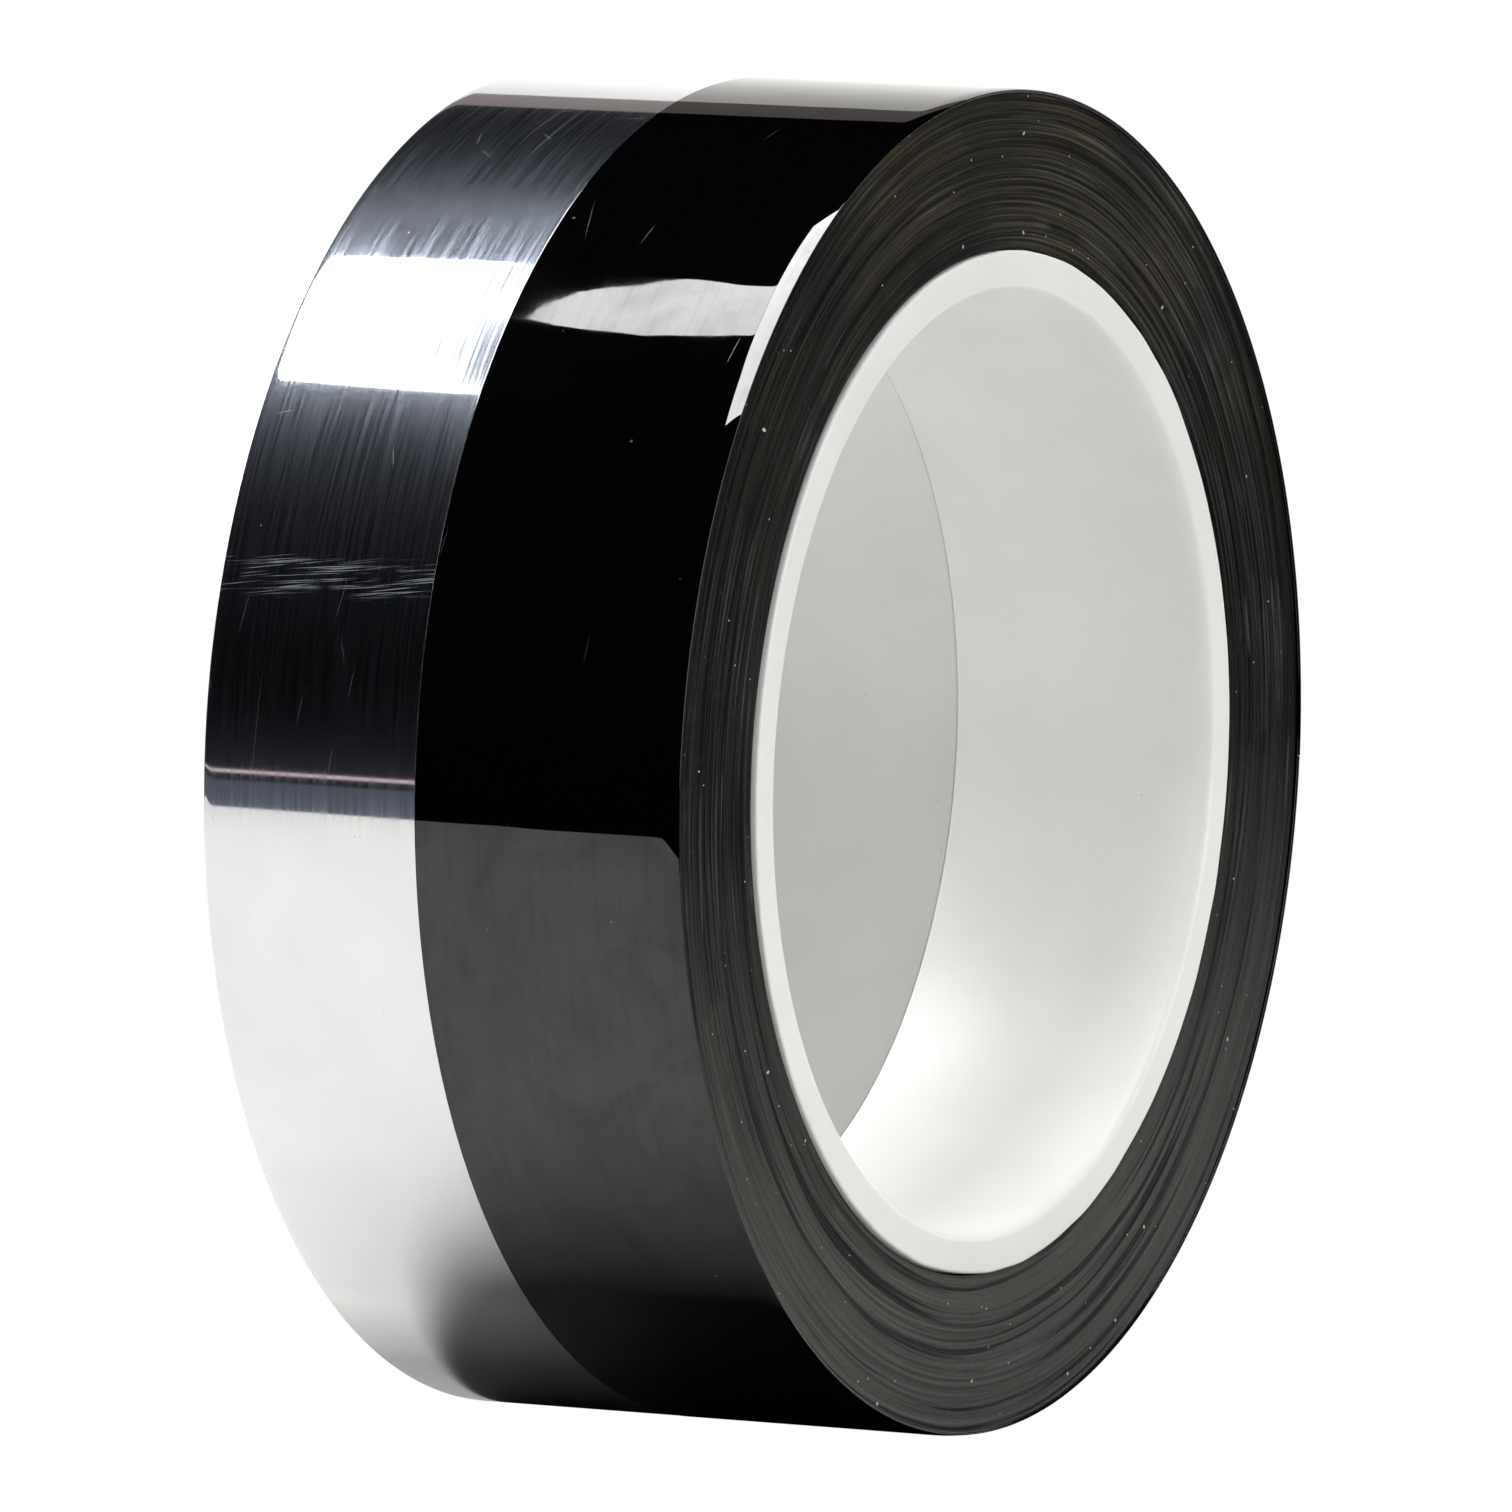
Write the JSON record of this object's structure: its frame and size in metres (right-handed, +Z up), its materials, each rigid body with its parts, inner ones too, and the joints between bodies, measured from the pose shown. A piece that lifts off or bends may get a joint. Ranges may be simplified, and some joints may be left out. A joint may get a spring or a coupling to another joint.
{
  "type": "tape roll pair",
  "caption": "Silver and black rolls of glossy adhesive film tape wound on white tubular cores, standing face to face on their rims.",
  "frame": {"origin": "on the floor under the centre of the pair, bottom centre of the bounding box at rest", "axes": "+Z up; Y along the shared axis of the rolls, with -Y out of the black roll's open face and +Y out of the silver roll's; X across"},
  "size_m": [0.1088, 0.0428, 0.1089],
  "materials": {
    "core_white": "semi-gloss moulded white",
    "black_edge": "wound tape edges, satin with fine rings",
    "silver_edge": "wound tape edges, satin with fine rings",
    "black_film": "glossy black film",
    "silver_film": "mirror-bright metallised film"
  },
  "bodies": {
    "silver_roll": {"silver_core": "core_white", "silver_wound_tape": "silver_edge", "silver_outer_turn": "silver_film"},
    "silver_tail": {"silver_free_end": "silver_film"},
    "black_roll": {"black_core": "core_white", "black_wound_tape": "black_edge", "black_outer_turn": "black_film"},
    "black_tail": {"black_free_end": "black_film"}
  },
  "joints": [
    {"name": "black_roll_spin", "type": "hinge", "parent": "silver_roll", "child": "black_roll", "pos_m": [0, -0.00965, 0.05443], "axis": [0, 1, 0], "continuous": true},
    {"name": "silver_tail_peel", "type": "hinge", "parent": "silver_roll", "child": "silver_tail", "pos_m": [0.03637, 0.0119, 0.09482], "axis": [0, -1, 0], "range_deg": [0, 80]},
    {"name": "black_tail_peel", "type": "hinge", "parent": "black_roll", "child": "black_tail", "pos_m": [0.04919, -0.00965, 0.07634], "axis": [0, -1, 0], "range_deg": [0, 80]}
  ]
}
